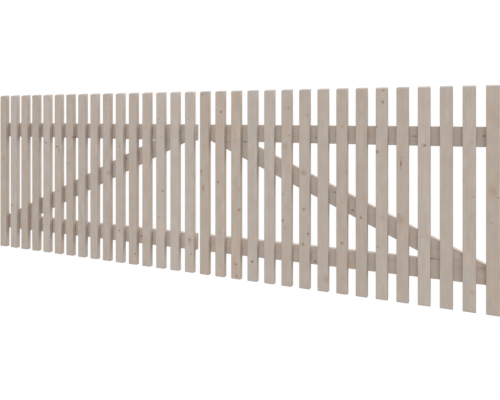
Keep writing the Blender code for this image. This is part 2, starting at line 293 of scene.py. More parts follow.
def glazed_wood(tree, log, late, board_look, shade, end_glaze_and_painted_light):
    """A board's colour before its knots and stains, and how dark its grain is."""
    warmth, lightness, end_share = add_node(tree, "SeparateXYZ", {0: board_look}).outputs
    patterns = []
    for width, length in (FIBRE, STREAK, BLOTCH, CLOUD):
        stretch = (1 / width, 1 / width, 1 / length)
        stretched = add_node(tree, "VectorMath", {0: log, 1: stretch}, operation="MULTIPLY")
        noise = add_node(tree, "TexNoise", {"Vector": stretched, "Scale": 1, "Detail": 2})
        spread = {"Value": noise, "From Min": PATTERN_MIDDLE[0], "From Max": PATTERN_MIDDLE[1]}
        patterns.append(add_node(tree, "MapRange", spread))
    fibres, streaks, blotches, clouds = patterns

    late_part = add_node(tree, "Math", {0: late, 1: LATE_SHARE}, operation="MULTIPLY")
    streaked = add_node(tree, "Math", {0: streaks, 1: STREAK_SHARE, 2: late_part}, operation="MULTIPLY_ADD")
    grain = add_node(tree, "Math", {0: fibres, 1: FIBRE_SHARE, 2: streaked}, operation="MULTIPLY_ADD")
    wood = add_node(
        tree, "Mix", {"Factor": grain, "A": colour(EARLY_WOOD), "B": colour(LATE_WOOD)}, data_type="RGBA"
    )
    drunk = add_node(tree, "Math", {0: blotches, 1: DRUNK_SHARE}, operation="MULTIPLY")
    glazed = add_node(
        tree, "Mix", {"Factor": drunk, "A": wood, "B": colour(DEEP_GLAZE)}, data_type="RGBA"
    )
    tint = add_node(
        tree, "Mix", {"Factor": warmth, "A": colour(COOL_GLAZE), "B": colour(WARM_GLAZE)}, data_type="RGBA"
    )
    tinted = add_node(
        tree, "Mix", {"Factor": 1, "A": glazed, "B": tint}, data_type="RGBA", blend_type="MULTIPLY"
    )
    cloud = add_node(
        tree, "Mix", {"Factor": clouds, "A": colour(PINK_CLOUD), "B": colour(GREY_CLOUD)}, data_type="RGBA"
    )
    clouded = add_node(
        tree, "Mix", {"Factor": 1, "A": tinted, "B": cloud}, data_type="RGBA", blend_type="MULTIPLY"
    )
    # The end tint is partly the end grain's glaze and partly painted light: a cool sky light on the
    # pickets' tops, a lift out of shade on the frame's ends.
    ended = add_node(
        tree,
        "Mix",
        {"Factor": end_share, "A": clouded, "B": colour(end_glaze_and_painted_light)},
        data_type="RGBA",
        blend_type="MULTIPLY",
    )
    # A shade above 1 lightens the whole board as painted light, lifting the shade that the frame stands in
    # behind the pickets.
    value = add_node(tree, "Math", {0: lightness, 1: shade}, operation="MULTIPLY")
    return add_node(tree, "HueSaturation", {"Value": value, "Color": ended}), grain


print("fibres", round(FIBRE[0] / MM, 1), "mm wide and", round(FIBRE[1] / MM), "mm long")

# %% [markdown]
# ## Knots and stains in the colour
#
# Marks are laid over the board's colour one on another, as coats of paint would be: first the resin of a
# stain, then the halo that a branch leaves in the wood around it, brown or pink, and last the branch
# itself with its own fine rings. Each fades from its inner edge to its outer one, which are given in
# radii, so a knot has a firmer edge than a stain of its size.
# %% Lay the marks over the wood
BROWN_HALO = "#B29A88"
KNOT_BROWN = "#645448"
RESIN_RED = "#805244"
RESIN_CLOUD = "#A2856C"
KNOT_EDGE = (1.6, 0.5)
HALO_EDGE = (2.4, 0.9)
HALO_SHARE = 0.6
STAIN_EDGE = (1.3, 0.0)
BRANCH_RINGS = 11
BRANCH_RING_DEPTH = 0.12


def marked_wood(tree, board, knot, stain):
    """The board's colour with its marks. A mark comes as its reach, its strength and its redness."""
    reach, knot_strength, knot_redness = knot
    stain_reach, stain_strength, stain_redness = stain
    shares = []
    for distance, (outside, inside), strength in (
        (stain_reach, STAIN_EDGE, stain_strength),
        (reach, HALO_EDGE, knot_strength),
        (reach, KNOT_EDGE, knot_strength),
    ):
        spread = add_node(
            tree,
            "MapRange",
            {"Value": distance, "From Min": outside, "From Max": inside},
            interpolation_type="SMOOTHSTEP",
        )
        shares.append(add_node(tree, "Math", {0: spread, 1: strength}, operation="MULTIPLY"))
    stain_share, halo, core = shares
    resin = add_node(
        tree,
        "Mix",
        {"Factor": stain_redness, "A": colour(RESIN_CLOUD), "B": colour(RESIN_RED)},
        data_type="RGBA",
    )
    stained = add_node(tree, "Mix", {"Factor": stain_share, "A": board, "B": resin}, data_type="RGBA")
    around = add_node(
        tree,
        "Mix",
        {"Factor": knot_redness, "A": colour(BROWN_HALO), "B": colour(RESIN_CLOUD)},
        data_type="RGBA",
    )
    halo_share = add_node(tree, "Math", {0: halo, 1: HALO_SHARE}, operation="MULTIPLY")
    haloed = add_node(tree, "Mix", {"Factor": halo_share, "A": stained, "B": around}, data_type="RGBA")
    turns = add_node(tree, "Math", {0: reach, 1: BRANCH_RINGS}, operation="MULTIPLY")
    branch_rings = add_node(tree, "Math", {0: turns}, operation="SINE")
    ringed = add_node(
        tree,
        "Math",
        {0: branch_rings, 1: BRANCH_RING_DEPTH, 2: 1 - BRANCH_RING_DEPTH},
        operation="MULTIPLY_ADD",
    )
    core_share = add_node(tree, "Math", {0: core, 1: ringed}, operation="MULTIPLY")
    branch = add_node(
        tree,
        "Mix",
        {"Factor": knot_redness, "A": colour(KNOT_BROWN), "B": colour(RESIN_RED)},
        data_type="RGBA",
    )
    return add_node(tree, "Mix", {"Factor": core_share, "A": haloed, "B": branch}, data_type="RGBA")


print("a knot's colour starts", KNOT_EDGE[0], "radii out and is full at", KNOT_EDGE[1])

# %% [markdown]
# ## The finished wood
#
# The glaze dries to a low, uneven sheen, a little duller over the dark grain, with the fibres just felt
# under a finger. Two materials come of it. On the pickets, the end grain of the tops and feet is a cool
# grey, partly the glaze it drinks and partly a painted cool sky light on the tops. The rails and braces are
# a tone lighter, which is painted light that lifts the shade they stand in behind the pickets, and their
# ends keep a lighter, warmer tint, partly the end grain's glaze and partly painted light that lifts the
# shade between the leaves.
# %% The stained softwood
# Painted light: the pickets' end tint is cooled and greyed to stand for the sky light on their tops, over
# the end grain's deeper glaze.
PICKET_ENDS_GLAZE_AND_SKY_LIGHT = "#E0E3E8"
# Painted light: the frame's end tint is kept light to lift the shade between the leaves, over the end
# grain's warmer glaze.
FRAME_ENDS_GLAZE_AND_SHADE_LIFT = "#F3EDE5"
PICKET_SHADE = 1.0
# Painted light: the frame is a tone lighter than the pickets to lift the shade it stands in behind them.
FRAME_LIFT_OUT_OF_SHADE = 1.06
LOW_SHEEN = (0.5, 0.7)
FIBRE_RELIEF = 0.25 * MM
RELIEF_SHARE = 0.35
GLAZE_IOR = 1.46


def stained_softwood(name, shade, end_glaze_and_painted_light):
    """Planed spruce under a thin greige glaze: matt, with a low sheen. The end grain has its own tint."""
    material, tree, shader = new_material(name)
    carried = ("log", "knot", "knot_look", "stain", "stain_look", "board_look")
    log, knot, knot_look, stain, stain_look, board_look = [
        add_node(tree, "Attribute", attribute_name=attribute).outputs["Vector"] for attribute in carried
    ]
    knot_nearness, *knot_tone = add_node(tree, "SeparateXYZ", {0: knot_look}).outputs
    stain_nearness, *stain_tone = add_node(tree, "SeparateXYZ", {0: stain_look}).outputs
    reach = reach_of(tree, knot, knot_nearness, log)
    stain_reach = reach_of(tree, stain, stain_nearness, log)
    late = late_wood(tree, log, knot, reach)
    board, grain = glazed_wood(tree, log, late, board_look, shade, end_glaze_and_painted_light)
    marked = marked_wood(tree, board, (reach, *knot_tone), (stain_reach, *stain_tone))
    tree.links.new(marked.outputs[2], shader.inputs["Base Color"])

    matt = add_node(tree, "MapRange", {"Value": grain, "To Min": LOW_SHEEN[0], "To Max": LOW_SHEEN[1]})
    tree.links.new(matt.outputs["Result"], shader.inputs["Roughness"])
    height = add_node(tree, "Math", {0: grain, 1: -1}, operation="MULTIPLY")
    bump = add_node(tree, "Bump", {"Height": height, "Strength": RELIEF_SHARE, "Distance": FIBRE_RELIEF})
    tree.links.new(bump.outputs["Normal"], shader.inputs["Normal"])
    shader.inputs["IOR"].default_value = GLAZE_IOR
    return material


picket_wood = stained_softwood("stained_softwood_pickets", PICKET_SHADE, PICKET_ENDS_GLAZE_AND_SKY_LIGHT)
frame_wood = stained_softwood("stained_softwood_frame", FRAME_LIFT_OUT_OF_SHADE, FRAME_ENDS_GLAZE_AND_SHADE_LIFT)
print("made", picket_wood.name, "and", frame_wood.name)

# %% [markdown]
# ## Hot-dipped and plated steel
#
# The straps and pintles are mild steel that was dipped in molten zinc. The zinc freezes in flat crystals
# some millimetres across, each with its own grey and its own sheen, and weathers to a soft, uneven
# dullness. The screws have only a few microns of zinc, put on by electroplating, so they stay smooth and
# shine more. The crystals of that thin coat can't be seen, so they are drawn 1.5 mm wide, to show at all.
# %% Galvanised steel and zinc plate
ZINC_LIGHT = "#CDD0D1"
ZINC_DARK = "#A2A7A9"
SPANGLE_SIZE = 8 * MM
SPANGLE_ROUGHNESS = 0.4
PLATE_LIGHT = "#C9C6BC"
PLATE_DULL = "#A7A294"
PLATE_CELL = 1.5 * MM
PLATE_ROUGHNESS = 0.3
ROUGHNESS_SPREAD = 0.3
CELLS_PER_CLOUD = 3
ZINC_RELIEF = 0.3 * MM
ZINC_RELIEF_SHARE = 0.2


def zinc_coat(name, light, dull, grain_size, roughness):
    """Zinc over steel: flat crystals, each a little lighter or duller than the next."""
    material, tree, shader = new_material(name)
    place = add_node(tree, "TexCoord").outputs["Object"]
    crystals = add_node(tree, "TexVoronoi", {"Vector": place, "Scale": 1 / grain_size, "Randomness": 1})
    cell = add_node(tree, "SeparateColor", {0: crystals.outputs["Color"]}).outputs[0]
    cloud_size = CELLS_PER_CLOUD * grain_size
    cloud = add_node(tree, "TexNoise", {"Vector": place, "Scale": 1 / cloud_size, "Detail": 3})
    share = add_node(tree, "Math", {0: cell, 1: cloud}, operation="MULTIPLY")
    zinc = add_node(tree, "Mix", {"Factor": share, "A": colour(light), "B": colour(dull)}, data_type="RGBA")
    tree.links.new(zinc.outputs[2], shader.inputs["Base Color"])
    sheen = add_node(
        tree, "MapRange", {"Value": share, "To Min": roughness, "To Max": roughness + ROUGHNESS_SPREAD}
    )
    tree.links.new(sheen.outputs[0], shader.inputs["Roughness"])
    bump = add_node(tree, "Bump", {"Height": cloud, "Strength": ZINC_RELIEF_SHARE, "Distance": ZINC_RELIEF})
    tree.links.new(bump.outputs["Normal"], shader.inputs["Normal"])
    shader.inputs["Metallic"].default_value = 1
    return material


# Hot-dipped zinc looks soft and grey, in patches that catch the light one by one.
galvanised_steel = zinc_coat(
    "hot_dip_galvanised_steel", ZINC_LIGHT, ZINC_DARK, SPANGLE_SIZE, SPANGLE_ROUGHNESS
)
# Plated zinc looks even and a little warm, with brighter glints on the screws' heads.
zinc_plate = zinc_coat("zinc_plated_steel", PLATE_LIGHT, PLATE_DULL, PLATE_CELL, PLATE_ROUGHNESS)
print("made", galvanised_steel.name, "and", zinc_plate.name)

# %% [markdown]
# ## A planed board
#
# A plain box would do for the outline, but a planer leaves a small round on every edge, and that round
# is what the light runs along. A picket's top also slants down to the front, so that rain runs off, and
# from the front that shows as a thin bright line. It was sawn after the planing, so its rim is crisper
# than the other edges. So a board starts from a cube that is scaled to size, for a picket the front of
# its top is lowered, the edges are bevelled in three steps, and cuts all along give the mesh enough
# points to carry the knots. The round is narrow beside the flat, so weighted normals keep the flats
# looking flat.
# %% Shape a board
EDGE_ROUND = 3 * MM
TOP_ROUND = 0.8 * MM
ROUND_STEPS = 3
CUT_SPACING = 10 * MM
PICKET_SLANT = 7.5 * MM
PARALLEL = 0.999


def runs_along(edge, axis=2):
    """Whether an edge of a bmesh runs along an axis."""
    way = (edge.verts[1].co - edge.verts[0].co).normalized()
    return abs(way[axis]) > PARALLEL


def round_off(shape, edges, radius, steps):
    """Bevel some edges to a round."""
    bmesh.ops.bevel(
        shape,
        geom=edges,
        offset=radius,
        offset_type="OFFSET",
        segments=steps,
        profile=0.5,
        affect="EDGES",
        material=-1,
    )


def scaled_box(size, centre=(0, 0, 0)):
    """A cube that is scaled to size."""
    shape = bmesh.new()
    bmesh.ops.create_cube(shape, size=1)
    bmesh.ops.scale(shape, vec=size, verts=shape.verts)
    bmesh.ops.translate(shape, vec=centre, verts=shape.verts)
    return shape


def planed_board(width, depth, length, slant=0):
    """A board along Z, face to -Y. One with a slant has a crisp top that falls to the front."""
    eased_off = TOP_ROUND * math.sin(math.atan(slant / depth))
    shape = scaled_box((width, depth, length + eased_off), (0, 0, eased_off / 2))
    front_top = [corner for corner in shape.verts if corner.co.y < 0 < corner.co.z]
    bmesh.ops.translate(shape, vec=(0, 0, -slant), verts=front_top)
    foot = [edge for edge in shape.edges if slant and max(corner.co.z for corner in edge.verts) < 0]
    round_off(shape, [edge for edge in shape.edges if runs_along(edge)] + foot, EDGE_ROUND, ROUND_STEPS)
    if slant:
        top = max(shape.faces, key=lambda face: face.calc_center_median().z)
        round_off(shape, top.edges[:], TOP_ROUND, ROUND_STEPS)
    long_edges = [edge for edge in shape.edges if runs_along(edge)]
    bmesh.ops.subdivide_edges(shape, edges=long_edges, cuts=round(length / CUT_SPACING), use_grid_fill=True)
    return shape


picket_faces = len(planed_board(*size_of("left_picket_01"), PICKET_SLANT).faces)
print("faces on a picket:", picket_faces)

# %% [markdown]
# ## Where the knots and stains are
#
# A tight knot is a dark round spot. Where the saw only grazed a branch there is a soft blush, and resin
# leaves a cloud, a streak or a thin red vein. On the photographed gate most pickets show a few such
# marks, and random ones would make it another gate, so their places are listed here: the picket, counted
# from the left, the height in metres, the distance from the picket's middle in millimetres, and the
# kind. A kind gives the radius in millimetres, how dark and how red the mark is, and how much it is
# squeezed along the grain, or drawn out if that is under 1. Knots and stains are kept apart, so that one
# can lie on the other.
# %% List the knots and stains
Mark = namedtuple("Mark", "along across radius strength redness squeeze")
KNOT_KINDS = {
    "pin": (3.8, 0.7, 0.15, 1.1),
    "speck": (3.4, 0.45, 0.15, 1.1),
    "knot": (5.2, 0.7, 0.1, 1.0),
    "dark": (6.2, 0.92, 0, 1.3),
    "rust": (4.8, 0.76, 0.7, 0.85),
    "dash": (6.0, 0.72, 0.4, 4.0),
    "branch": (11.0, 0.8, 0.3, 3.2),
    "bar": (10.0, 0.32, 1, 5.0),
}
STAIN_KINDS = {
    "blush": (11, 0.4, 0.2, 0.8),
    "patch": (18, 0.5, 0.1, 0.8),
    "cloud": (25, 0.48, 0.1, 0.8),
    "burl": (16, 0.75, 0.1, 0.9),
    "streak": (4.6, 1.0, 0.4, 0.2),
    "vein": (4.5, 1.0, 1, 0.18),
    "trace": (3.4, 0.45, 0.6, 0.16),
}
PICKET_MARKS = """
1 0.584 1 patch
2 0.278 -18 rust
4 0.991 -16 knot
5 0.694 -4 rust
5 0.248 -4 pin
6 0.671 -8 branch
6 0.648 9 streak
6 0.396 -2 blush
7 0.733 24 knot
7 0.571 -21 knot
10 0.524 15 patch
11 0.685 1 pin
11 0.189 1 knot
12 0.064 18 knot
14 0.846 -7 pin
14 0.743 13 dash
14 0.439 16 knot
14 0.287 -11 pin
16 0.899 4 trace
16 0.849 -5 pin
16 0.182 5 rust
16 0.175 3 patch
16 0.102 13 pin
17 0.980 -11 pin
17 0.562 -17 rust
17 0.545 -14 blush
17 0.473 -6 vein
18 0.992 2 pin
18 0.885 8 knot
18 0.508 -8 rust
18 0.238 0 blush
19 0.475 20 blush
19 0.367 20 rust
19 0.080 2 knot
19 0.019 5 knot
20 0.104 2 dark
22 0.903 11 pin
22 0.767 16 pin
22 0.709 -7 patch
22 0.466 -21 pin
22 0.404 -4 speck
22 0.332 -20 rust
22 0.295 -6 blush
23 0.866 17 blush
23 0.581 -3 burl
23 0.398 -3 knot
23 0.310 20 trace
23 0.276 20 rust
23 0.221 -5 knot
24 0.061 17 patch
25 0.813 4 pin
25 0.596 24 trace
25 0.249 2 knot
25 0.081 2 blush
26 0.380 -2 rust
27 0.985 10 pin
27 0.930 6 knot
27 0.814 -23 pin
27 0.694 -19 rust
27 0.387 4 blush
27 0.247 -18 pin
28 0.672 -5 bar
28 0.642 -6 vein
28 0.407 -15 dash
28 0.384 -9 cloud
29 0.731 5 dark
29 0.315 -8 speck
31 0.748 9 blush
31 0.579 -26 trace
31 0.509 15 dash
31 0.089 11 blush
32 0.540 2 cloud
32 0.513 23 dash
32 0.399 -6 speck
"""

marks_on_picket = {}
for line in PICKET_MARKS.split("\n")[1:-1]:
    counted, height, across, kind = line.split()
    marks_on_picket.setdefault(int(counted), []).append((float(height), float(across), kind))
print(len(marks_on_picket), "pickets with marks on show")

# %% [markdown]
# ## What a board's mesh carries
#
# The shader can only draw the log's rings and the knots if each point of a board knows where it lay in
# the log, and how far off its nearest knot and stain are. Point attributes hold that, so a board can
# stand, lie or slope and no image is needed. Every board gets a log of its own: the pith runs somewhere
# behind its face and leans a little, and that makes its rings unlike any other board's. A board with no
# knots, or no stains, gets one that is far off and has no strength.
# %% Write a board's points into its mesh
MARK_FADE = 50 * MM
FAR_MARK = Mark(100, 0, 10 * MM, 0, 0, 1)
# Places in millimetres, leans in millimetres per metre, and the log's length in metres.
PITH_ACROSS = (-40, 40)
PITH_BEHIND = (25, 70)
LEAN_ACROSS = (-12, 12)
LEAN_BACK = (-14, 14)
LOG_LENGTH = 60
SHARP = math.radians(40)


def marks_of(listed, kinds):
    """The listed marks of these kinds. Distances across come in millimetres."""
    marks = []
    for along, across, kind in listed:
        if kind in kinds:
            radius, *look = kinds[kind]
            marks.append(Mark(along, across * MM, radius * MM, *look))
    return marks


def nearness_of(mark, others, along):
    """1 at a mark, falling to 0 along the board well before the next one takes over."""
    gaps = [abs(other.along - mark.along) for other in others if other is not mark]
    fade = min([MARK_FADE] + [max(gap / 2 - CUT_SPACING, CUT_SPACING) for gap in gaps])
    return max(0, 1 - abs(along - mark.along) / fade)


def write_board(mesh, placed, listed, warmth, lightness, chance):
    """Give each point its place in the log, its nearest marks, and the board's tint."""
    pith_across = chance.uniform(*PITH_ACROSS) * MM
    pith_depth = chance.uniform(*PITH_BEHIND) * MM
    lean_across = chance.uniform(*LEAN_ACROSS) * MM
    lean_depth = chance.uniform(*LEAN_BACK) * MM
    up_the_log = chance.uniform(0, LOG_LENGTH)
    to_board = placed.inverted()
    layers = {"knot": marks_of(listed, KNOT_KINDS), "stain": marks_of(listed, STAIN_KINDS)}
    kept = {name: [] for name in ("log", "knot", "knot_look", "stain", "stain_look", "board_look")}
    for vertex in mesh.vertices:
        across, depth, along = to_board @ vertex.co
        kept["log"] += [
            across - pith_across - lean_across * along,
            depth - pith_depth - lean_depth * along,
            along + up_the_log,
        ]
        for layer, marks in layers.items():
            mark = min(marks or [FAR_MARK], key=lambda one: abs(one.along - along))
            kept[layer] += [across - mark.across, (along - mark.along) * mark.squeeze, mark.radius]
            kept[f"{layer}_look"] += [nearness_of(mark, marks, along), mark.strength, mark.redness]
        facing_along = abs((to_board.to_3x3() @ vertex.normal).z)
        kept["board_look"] += [warmth, lightness, facing_along]
    for name, values in kept.items():
        mesh.attributes.new(name, "FLOAT_VECTOR", "POINT").data.foreach_set("vector", values)


def finish_piece(name, shape, material, body):
    """Make a piece of a bmesh, shade it, give it its material and let it ride on a body."""
    mesh = bpy.data.meshes.new(name)
    shape.to_mesh(mesh)
    shape.free()
    mesh.shade_smooth()
    mesh.set_sharp_from_angle(angle=SHARP)
    mesh.materials.append(material)
    piece = bpy.data.objects.new(name, mesh)
    bpy.context.scene.collection.objects.link(piece)
    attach(piece, body)
    return piece


def keep_flats_flat(piece):
    """Let the wide faces rule the shading where they meet a narrow round."""
    modifier = piece.modifiers.new("flat_faces", "WEIGHTED_NORMAL")
    modifier.keep_sharp = True


print("a mark fades out", MARK_FADE / MM, "mm along the board")

# %% [markdown]
# ## The pickets
#
# Each leaf has sixteen pickets, all of one size. They come from many planks, so each gets its own place
# in its own log and its own tint, drawn from one seeded source so that every run is the same. The
# cooler and the pinker ones, and the few that are plainly lighter or darker than their neighbours, are
# placed as they stand on the photographed gate.
# %% Make the pickets
COOL_PICKETS = (2, 5, 11, 14, 15, 16, 20, 21, 29)
WARM_PICKETS = (1, 3, 4, 17, 18, 19, 25, 26, 28, 32)
MIDDLE_WARMTH = (0.35, 0.65)
WARMTH_SHIFT = 0.35
PICKET_LIGHTNESS = (0.96, 1.03)
LIGHTNESS_OFF = {5: 0.05, 6: 0.02, 8: -0.02, 23: -0.05, 25: 0.02}
chance = random.Random(20)


def warmth_of(counted):
    """From 0, cool and greenish, to 1, warm and pinkish."""
    warmth = chance.uniform(*MIDDLE_WARMTH)
    if counted in COOL_PICKETS:
        return warmth - WARMTH_SHIFT
    if counted in WARM_PICKETS:
        return warmth + WARMTH_SHIFT
    return warmth


for leaf, side in SIDES.items():
    for number in range(1, PICKETS_PER_LEAF + 1):
        node = f"{leaf}_picket_{number:02d}"
        counted = PICKETS_PER_LEAF + number if side > 0 else PICKETS_PER_LEAF + 1 - number
        placed = Matrix.Translation(middle_of(node))
        shape = planed_board(*size_of(node), PICKET_SLANT)
        bmesh.ops.transform(shape, matrix=placed, verts=shape.verts)
        piece = finish_piece(f"{node}_board", shape, picket_wood, f"{leaf}_leaf")
        middle = middle_of(node).z
        listed = [(height - middle, *rest) for height, *rest in marks_on_picket.get(counted, [])]
        lightness = chance.uniform(*PICKET_LIGHTNESS) + LIGHTNESS_OFF.get(counted, 0)
        write_board(piece.data, placed, listed, warmth_of(counted), lightness, chance)
        keep_flats_flat(piece)
        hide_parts(node)
print(2 * PICKETS_PER_LEAF, "pickets")

# %% [markdown]
# ## The rails
#
# The rails are of the same wood in a wider section, with long edges rounded and ends only sawn, so the
# same helper makes an upright board, which is then laid along X. Their few marks are listed by the
# distance from the rail's middle, along it in metres and across it in millimetres. The lower rails are a
# tone lighter, as in the photograph.
# %% Make the rails
RAIL_LIGHTNESS = {"upper": 0.98, "lower": 1.04}
RAIL_LIGHTNESS_SPREAD = (0.99, 1.01)
FRAME_WARMTH = (0.4, 0.7)
RAIL_MARKS = {
    "left_upper_rail": ((0.35, 12, "knot"), (-0.42, -20, "pin")),
    "right_upper_rail": ((-0.09, 18, "pin"), (0.383, 1, "streak"), (0.677, -4, "knot")),
    "left_lower_rail": ((-0.31, 18, "knot"), (0.374, 0, "rust")),
    "right_lower_rail": ((-0.095, 30, "knot"), (0.669, -27, "patch")),
}

for leaf in SIDES:
    for level in LEVELS:
        node = f"{leaf}_{level}_rail"
        length, depth, height = size_of(node)
        placed = Matrix.Translation(middle_of(node)) @ Matrix.Rotation(math.pi / 2, 4, "Y")
        shape = planed_board(height, depth, length)
        bmesh.ops.transform(shape, matrix=placed, verts=shape.verts)
        piece = finish_piece(f"{node}_board", shape, frame_wood, f"{leaf}_leaf")
        lightness = RAIL_LIGHTNESS[level] * chance.uniform(*RAIL_LIGHTNESS_SPREAD)
        warmth = chance.uniform(*FRAME_WARMTH)
        write_board(piece.data, placed, RAIL_MARKS[node], warmth, lightness, chance)
        keep_flats_flat(piece)
        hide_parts(node)
print("4 rails,", round(size_of("left_upper_rail").x, 3), "m long")

# %% [markdown]
# ## The braces
#
# A brace takes a leaf's weight down to its lower hinge. It is a straight board laid at its slope and
# sawn off level against both rails, so it is made the way the carpenter makes it: a longer board is
# turned, then cut by two level planes, and its open ends are filled. Its feather-thin toes never sit
# tight, so a sliver is taken off each one, and the seam against the rail gapes there.
# %% Make the braces
TOE_LENGTH = 32 * MM
TOE_EASING = 2.4 * MM
BRACE_LIGHTNESS = (0.97, 1.02)
BRACE_MARKS = {
    "left_brace": ((-0.25, 14, "pin"), (0.3, -20, "knot")),
    "right_brace": ((-0.002, -21, "pin"), (0.018, -31, "pin"), (0.111, 18, "knot")),
}


def slope_of(run, drop, width):
    """A brace's angle off level: its box's top inner and bottom outer corners lie on its long edges."""
    return math.atan2(drop, run) + math.asin(width / math.hypot(run, drop))


def saw_off(shape, point, towards):
    """Saw off what lies beyond a plane through a point, on the side it faces, and close the cut."""
    everything = shape.verts[:] + shape.edges[:] + shape.faces[:]
    cut = bmesh.ops.bisect_plane(
        shape, geom=everything, plane_co=point, plane_no=towards, clear_outer=True
    )
    rim = [part for part in cut["geom_cut"] if isinstance(part, bmesh.types.BMEdge)]
    bmesh.ops.edgeloop_fill(shape, edges=rim)


for leaf, side in SIDES.items():
    node = f"{leaf}_brace"
    run, depth, drop = size_of(node)
    width = size_of(f"{leaf}_upper_rail").z
    slope = slope_of(run, drop, width)
    turned = Matrix.Rotation(side * slope + math.pi / 2, 4, "Y")
    shape = planed_board(width, depth, math.hypot(run, drop) + width)
    bmesh.ops.transform(shape, matrix=turned, verts=shape.verts)
    toe = run / 2 - width / math.sin(slope)
    for end in (1, -1):
        saw_off(shape, Vector((0, 0, -end * drop / 2)), Vector((0, 0, -end)))
        easing_from = Vector((side * (toe + TOE_LENGTH), 0, -drop / 2)) * end
        saw_off(shape, easing_from, Vector((-side * TOE_EASING, 0, -TOE_LENGTH)) * end)
    bmesh.ops.recalc_face_normals(shape, faces=shape.faces)
    bmesh.ops.translate(shape, vec=middle_of(node), verts=shape.verts)
    piece = finish_piece(f"{node}_board", shape, frame_wood, f"{leaf}_leaf")
    placed = Matrix.Translation(middle_of(node)) @ turned
    lightness = chance.uniform(*BRACE_LIGHTNESS)
    warmth = chance.uniform(*FRAME_WARMTH)
    write_board(piece.data, placed, BRACE_MARKS[node], warmth, lightness, chance)
    keep_flats_flat(piece)
    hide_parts(node)
    print(f"{node}: {math.degrees(slope):.1f} degrees off level")

# %% [markdown]
# ## A countersunk screw
#
# A screw starts as a piece of wire whose end is pressed into a head. Here a circle is drawn out and
# shrunk, ring by ring, from the head to the tip. The thread would be buried in the wood, so there is
# none. The star in the head is an inset whose every second corner is pulled inwards, and then it is
# pushed into the head. A size gives the head's radius and depth, and the shank's radius, and the star is
# given in shares of the head.
# %% Shape a screw
SCREW_SIDES = 12
WOOD_SCREW = (4.0 * MM, 2.4 * MM, 2.0 * MM)
STRAP_SCREW = (4.5 * MM, 2.6 * MM, 2.4 * MM)
TIP_RADIUS = 0.6 * MM
TIP_LENGTH = 3.6 * MM
RECESS_RIM = 0.42
STAR_WAIST = 0.62
RECESS_TAPER = 0.9
RECESS_DEPTH = 0.7


def draw_out(shape, face, shrink, travel):
    """Extrude a face along Y, resize the new one and drop the old, which would be left inside."""
    drawn = bmesh.ops.extrude_face_region(shape, geom=[face])["geom"]
    bmesh.ops.delete(shape, geom=[face], context="FACES_ONLY")
    new_face = next(part for part in drawn if isinstance(part, bmesh.types.BMFace))
    about = Matrix.Translation(-new_face.calc_center_median())
    bmesh.ops.scale(shape, vec=(shrink, 1, shrink), verts=new_face.verts, space=about)
    bmesh.ops.translate(shape, vec=(0, travel, 0), verts=new_face.verts)
    return new_face


def drive_screw(shape, point, size, length):
    """A countersunk screw that points to -Y, with a six-pointed recess in its head."""
    head_radius, head_depth, radius = size
    start = Matrix.Translation(point) @ Matrix.Rotation(math.pi / 2, 4, "X")
    circle = bmesh.ops.create_circle(
        shape, cap_ends=True, segments=SCREW_SIDES, radius=head_radius, matrix=start
    )
    head = circle["verts"][0].link_faces[0]
    outline = head.verts[:]
    face = draw_out(shape, head, radius / head_radius, -head_depth)
    face = draw_out(shape, face, 1, head_depth + TIP_LENGTH - length)
    draw_out(shape, face, TIP_RADIUS / radius, -TIP_LENGTH)
    top = bmesh.ops.contextual_create(shape, geom=outline)["faces"][0]
    bmesh.ops.inset_region(shape, faces=[top], thickness=head_radius * RECESS_RIM)
    for corner in list(top.verts)[::2]:
        corner.co = point + (corner.co - point) * STAR_WAIST
    draw_out(shape, top, RECESS_TAPER, -head_depth * RECESS_DEPTH)


print("screw heads", [round(2 * size[0] / MM, 1) for size in (WOOD_SCREW, STRAP_SCREW)], "mm across")

# %% [markdown]
# ## The pickets' screws
#
# The pickets are screwed from behind, through the rails and braces, so their fronts stay clean. There is
# a screw wherever a picket crosses a rail, and one where it crosses a brace, unless the brace is about
# to end there and covers too little. All the screws of one leaf's frame are one piece, since they only
# ever move together.
# %% Screw the pickets on
HEAD_PROUD = 0.15 * MM
SCREW_BITE = 17 * MM
LEAST_COVER = 28 * MM


def brace_cover(leaf, distance):
    """The middle of what a brace covers of a picket that far along the gate, and how much it covers."""
    low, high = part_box(f"{leaf}_brace")
    width = size_of(f"{leaf}_upper_rail").z
    slope = slope_of(high.x - low.x, high.z - low.z, width)
    inner_end = min(abs(low.x), abs(high.x))
    low_edge = high.z - (abs(distance) - inner_end) * math.tan(slope)
    high_edge = low_edge + width / math.cos(slope)
    bottom, top = max(low_edge, low.z), min(high_edge, high.z)
    return (bottom + top) / 2, top - bottom


for leaf in SIDES:
    shape = bmesh.new()
    driven = 0
    for number in range(1, PICKETS_PER_LEAF + 1):
        across = middle_of(f"{leaf}_picket_{number:02d}").x
        heights = [middle_of(f"{leaf}_{level}_rail").z for level in LEVELS]
        brace_height, cover = brace_cover(leaf, across)
        heights += [brace_height] if cover > LEAST_COVER else []
        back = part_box(f"{leaf}_upper_rail")[1][1] + HEAD_PROUD
        length = size_of(f"{leaf}_upper_rail").y + SCREW_BITE
        for height in heights:
            drive_screw(shape, Vector((across, back, height)), WOOD_SCREW, length)
            driven += 1
    bmesh.ops.recalc_face_normals(shape, faces=shape.faces)
    finish_piece(f"{leaf}_picket_screws", shape, zinc_plate, f"{leaf}_leaf")
    print(driven, "screws through the", leaf, "leaf's rails and brace")

# %% [markdown]
# ## The straps' screws
#
# Three heavier screws hold each strap to its rail. The CAD model has these as nodes of its own, so their
# places are known, and a piece with the same three screws and their recesses takes the nodes' place. Its
# heads stand as proud of the strap as the pickets' screws do of the rails.
# %% Screw the straps on
STRAP_SCREWS = (1, 2, 3)
CAD_HEAD_SUNK = 0.5 * MM

